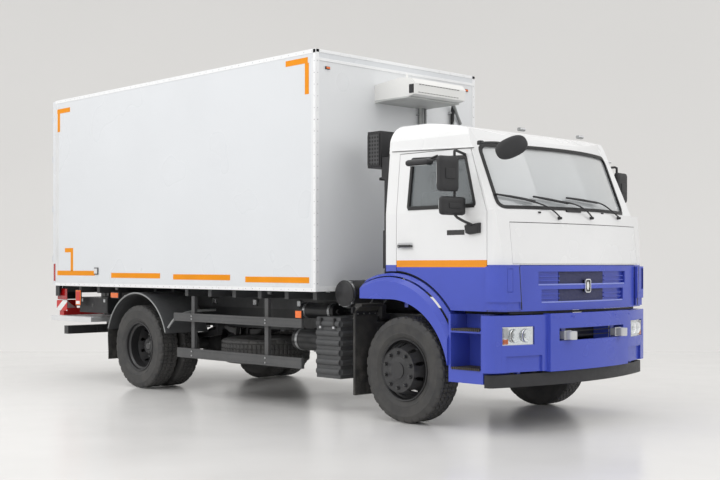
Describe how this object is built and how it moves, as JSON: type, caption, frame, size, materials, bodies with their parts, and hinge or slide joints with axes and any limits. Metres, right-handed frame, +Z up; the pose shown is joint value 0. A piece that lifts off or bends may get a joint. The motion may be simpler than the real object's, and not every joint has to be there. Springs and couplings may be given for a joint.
{
  "type": "refrigerated truck",
  "caption": "Two-axle refrigerated truck: tilting forward-control day cab, insulated white box body with rear doors and a cooling unit on its front wall.",
  "frame": {"origin": "centre of the bounding box in plan, on the ground plane under the tyres", "axes": "+Z up, -Y towards the front of the truck, +X towards the vehicle's left side"},
  "size_m": [3.0066, 8.0539, 3.722],
  "materials": {
    "frame_black": "satin",
    "chassis_grey": "satin",
    "cast_dark": "rough",
    "cab_white": "gloss",
    "cab_blue": "gloss",
    "glass": "gloss",
    "plastic_black": "matte",
    "plastic_grey": "matte",
    "wheel_black": "satin",
    "tyre": "matte",
    "seat_cloth": "woven",
    "box_white": "gloss",
    "aluminium": "satin",
    "lamp_clear": "clear"
  },
  "bodies": {
    "chassis": {"frame_rails": "frame_black", "frame_crossmembers": "frame_black", "body_subframe": "chassis_grey", "engine_block": "cast_dark", "gearbox": "cast_dark", "propshaft": "cast_dark", "front_axle": "cast_dark", "rear_axle": "cast_dark", "front_springs": "cast_dark", "rear_springs": "cast_dark", "bumper": "cab_blue", "headlamps": "lamp_clear", "fender_steps": "cab_blue", "front_flaps": "plastic_grey", "box_floor": "box_white", "box_walls": "box_white", "box_roof": "box_white", "box_front_wall": "box_white", "rear_frame": "aluminium", "fridge_unit": "box_white", "battery_box": "plastic_grey", "air_cleaner": "plastic_black", "fuel_tank": "aluminium", "air_tanks": "frame_black", "side_guards": "aluminium", "spare_wheel": "tyre", "rear_mudguards": "plastic_grey", "tail_lift": "frame_black"},
    "cab": {"cab_shell": "cab_white", "cab_roof": "cab_white", "windscreen": "glass", "front_panel": "cab_white", "corner_deflectors": "cab_blue", "seats": "seat_cloth", "dashboard": "plastic_grey", "steering_wheel": "plastic_black", "air_intake": "plastic_black"},
    "grille_lid": {"grille_lid": "cab_blue"},
    "door_left": {"door_left": "cab_white", "door_glass_left": "glass", "mirrors_left": "plastic_black"},
    "door_right": {"door_right": "cab_white", "door_glass_right": "glass", "mirrors_right": "plastic_black"},
    "knuckle_left": {"steering_knuckle_left": "cast_dark"},
    "knuckle_right": {"steering_knuckle_right": "cast_dark"},
    "front_wheel_left": {"front_wheel_left": "wheel_black", "front_tyre_left": "tyre"},
    "front_wheel_right": {"front_wheel_right": "wheel_black", "front_tyre_right": "tyre"},
    "rear_wheels_left": {"rear_wheels_left": "wheel_black", "rear_tyres_left": "tyre"},
    "rear_wheels_right": {"rear_wheels_right": "wheel_black", "rear_tyres_right": "tyre"},
    "cargo_door_left": {"cargo_door_left": "box_white"},
    "cargo_door_right": {"cargo_door_right": "box_white"}
  },
  "joints": [
    {"name": "cab_tilt", "type": "hinge", "parent": "chassis", "child": "cab", "pos_m": [0, -3.867, 1.088], "axis": [1, 0, 0], "range_deg": [0, 45]},
    {"name": "grille_lid_hinge", "type": "hinge", "parent": "cab", "child": "grille_lid", "pos_m": [0, -3.864, 1.514], "axis": [-1, 0, 0], "range_deg": [0, 80]},
    {"name": "door_left_hinge", "type": "hinge", "parent": "cab", "child": "door_left", "pos_m": [1.15, -3.575, 1.5], "axis": [0, 0, -1], "range_deg": [0, 70]},
    {"name": "door_right_hinge", "type": "hinge", "parent": "cab", "child": "door_right", "pos_m": [-1.15, -3.575, 1.5], "axis": [0, 0, 1], "range_deg": [0, 70]},
    {"name": "steer_left", "type": "hinge", "parent": "chassis", "child": "knuckle_left", "pos_m": [0.88, -2.561, 0.51], "axis": [0, 0, 1], "range_deg": [-35, 35]},
    {"name": "steer_right", "type": "hinge", "parent": "chassis", "child": "knuckle_right", "pos_m": [-0.88, -2.561, 0.51], "axis": [0, 0, 1], "range_deg": [-35, 35]},
    {"name": "front_wheel_left_spin", "type": "hinge", "parent": "knuckle_left", "child": "front_wheel_left", "pos_m": [1.03, -2.561, 0.51], "axis": [1, 0, 0], "continuous": true},
    {"name": "front_wheel_right_spin", "type": "hinge", "parent": "knuckle_right", "child": "front_wheel_right", "pos_m": [-1.03, -2.561, 0.51], "axis": [1, 0, 0], "continuous": true},
    {"name": "rear_wheels_left_spin", "type": "hinge", "parent": "chassis", "child": "rear_wheels_left", "pos_m": [0.928, 1.889, 0.51], "axis": [1, 0, 0], "continuous": true},
    {"name": "rear_wheels_right_spin", "type": "hinge", "parent": "chassis", "child": "rear_wheels_right", "pos_m": [-0.928, 1.889, 0.51], "axis": [1, 0, 0], "continuous": true},
    {"name": "cargo_door_left_hinge", "type": "hinge", "parent": "chassis", "child": "cargo_door_left", "pos_m": [1.258, 3.911, 2.4], "axis": [0, 0, -1], "range_deg": [0, 265]},
    {"name": "cargo_door_right_hinge", "type": "hinge", "parent": "chassis", "child": "cargo_door_right", "pos_m": [-1.258, 3.911, 2.4], "axis": [0, 0, 1], "range_deg": [0, 265]}
  ],
  "couplings": [
    {"joint": "steer_right", "follows": "steer_left", "ratio": 1}
  ]
}
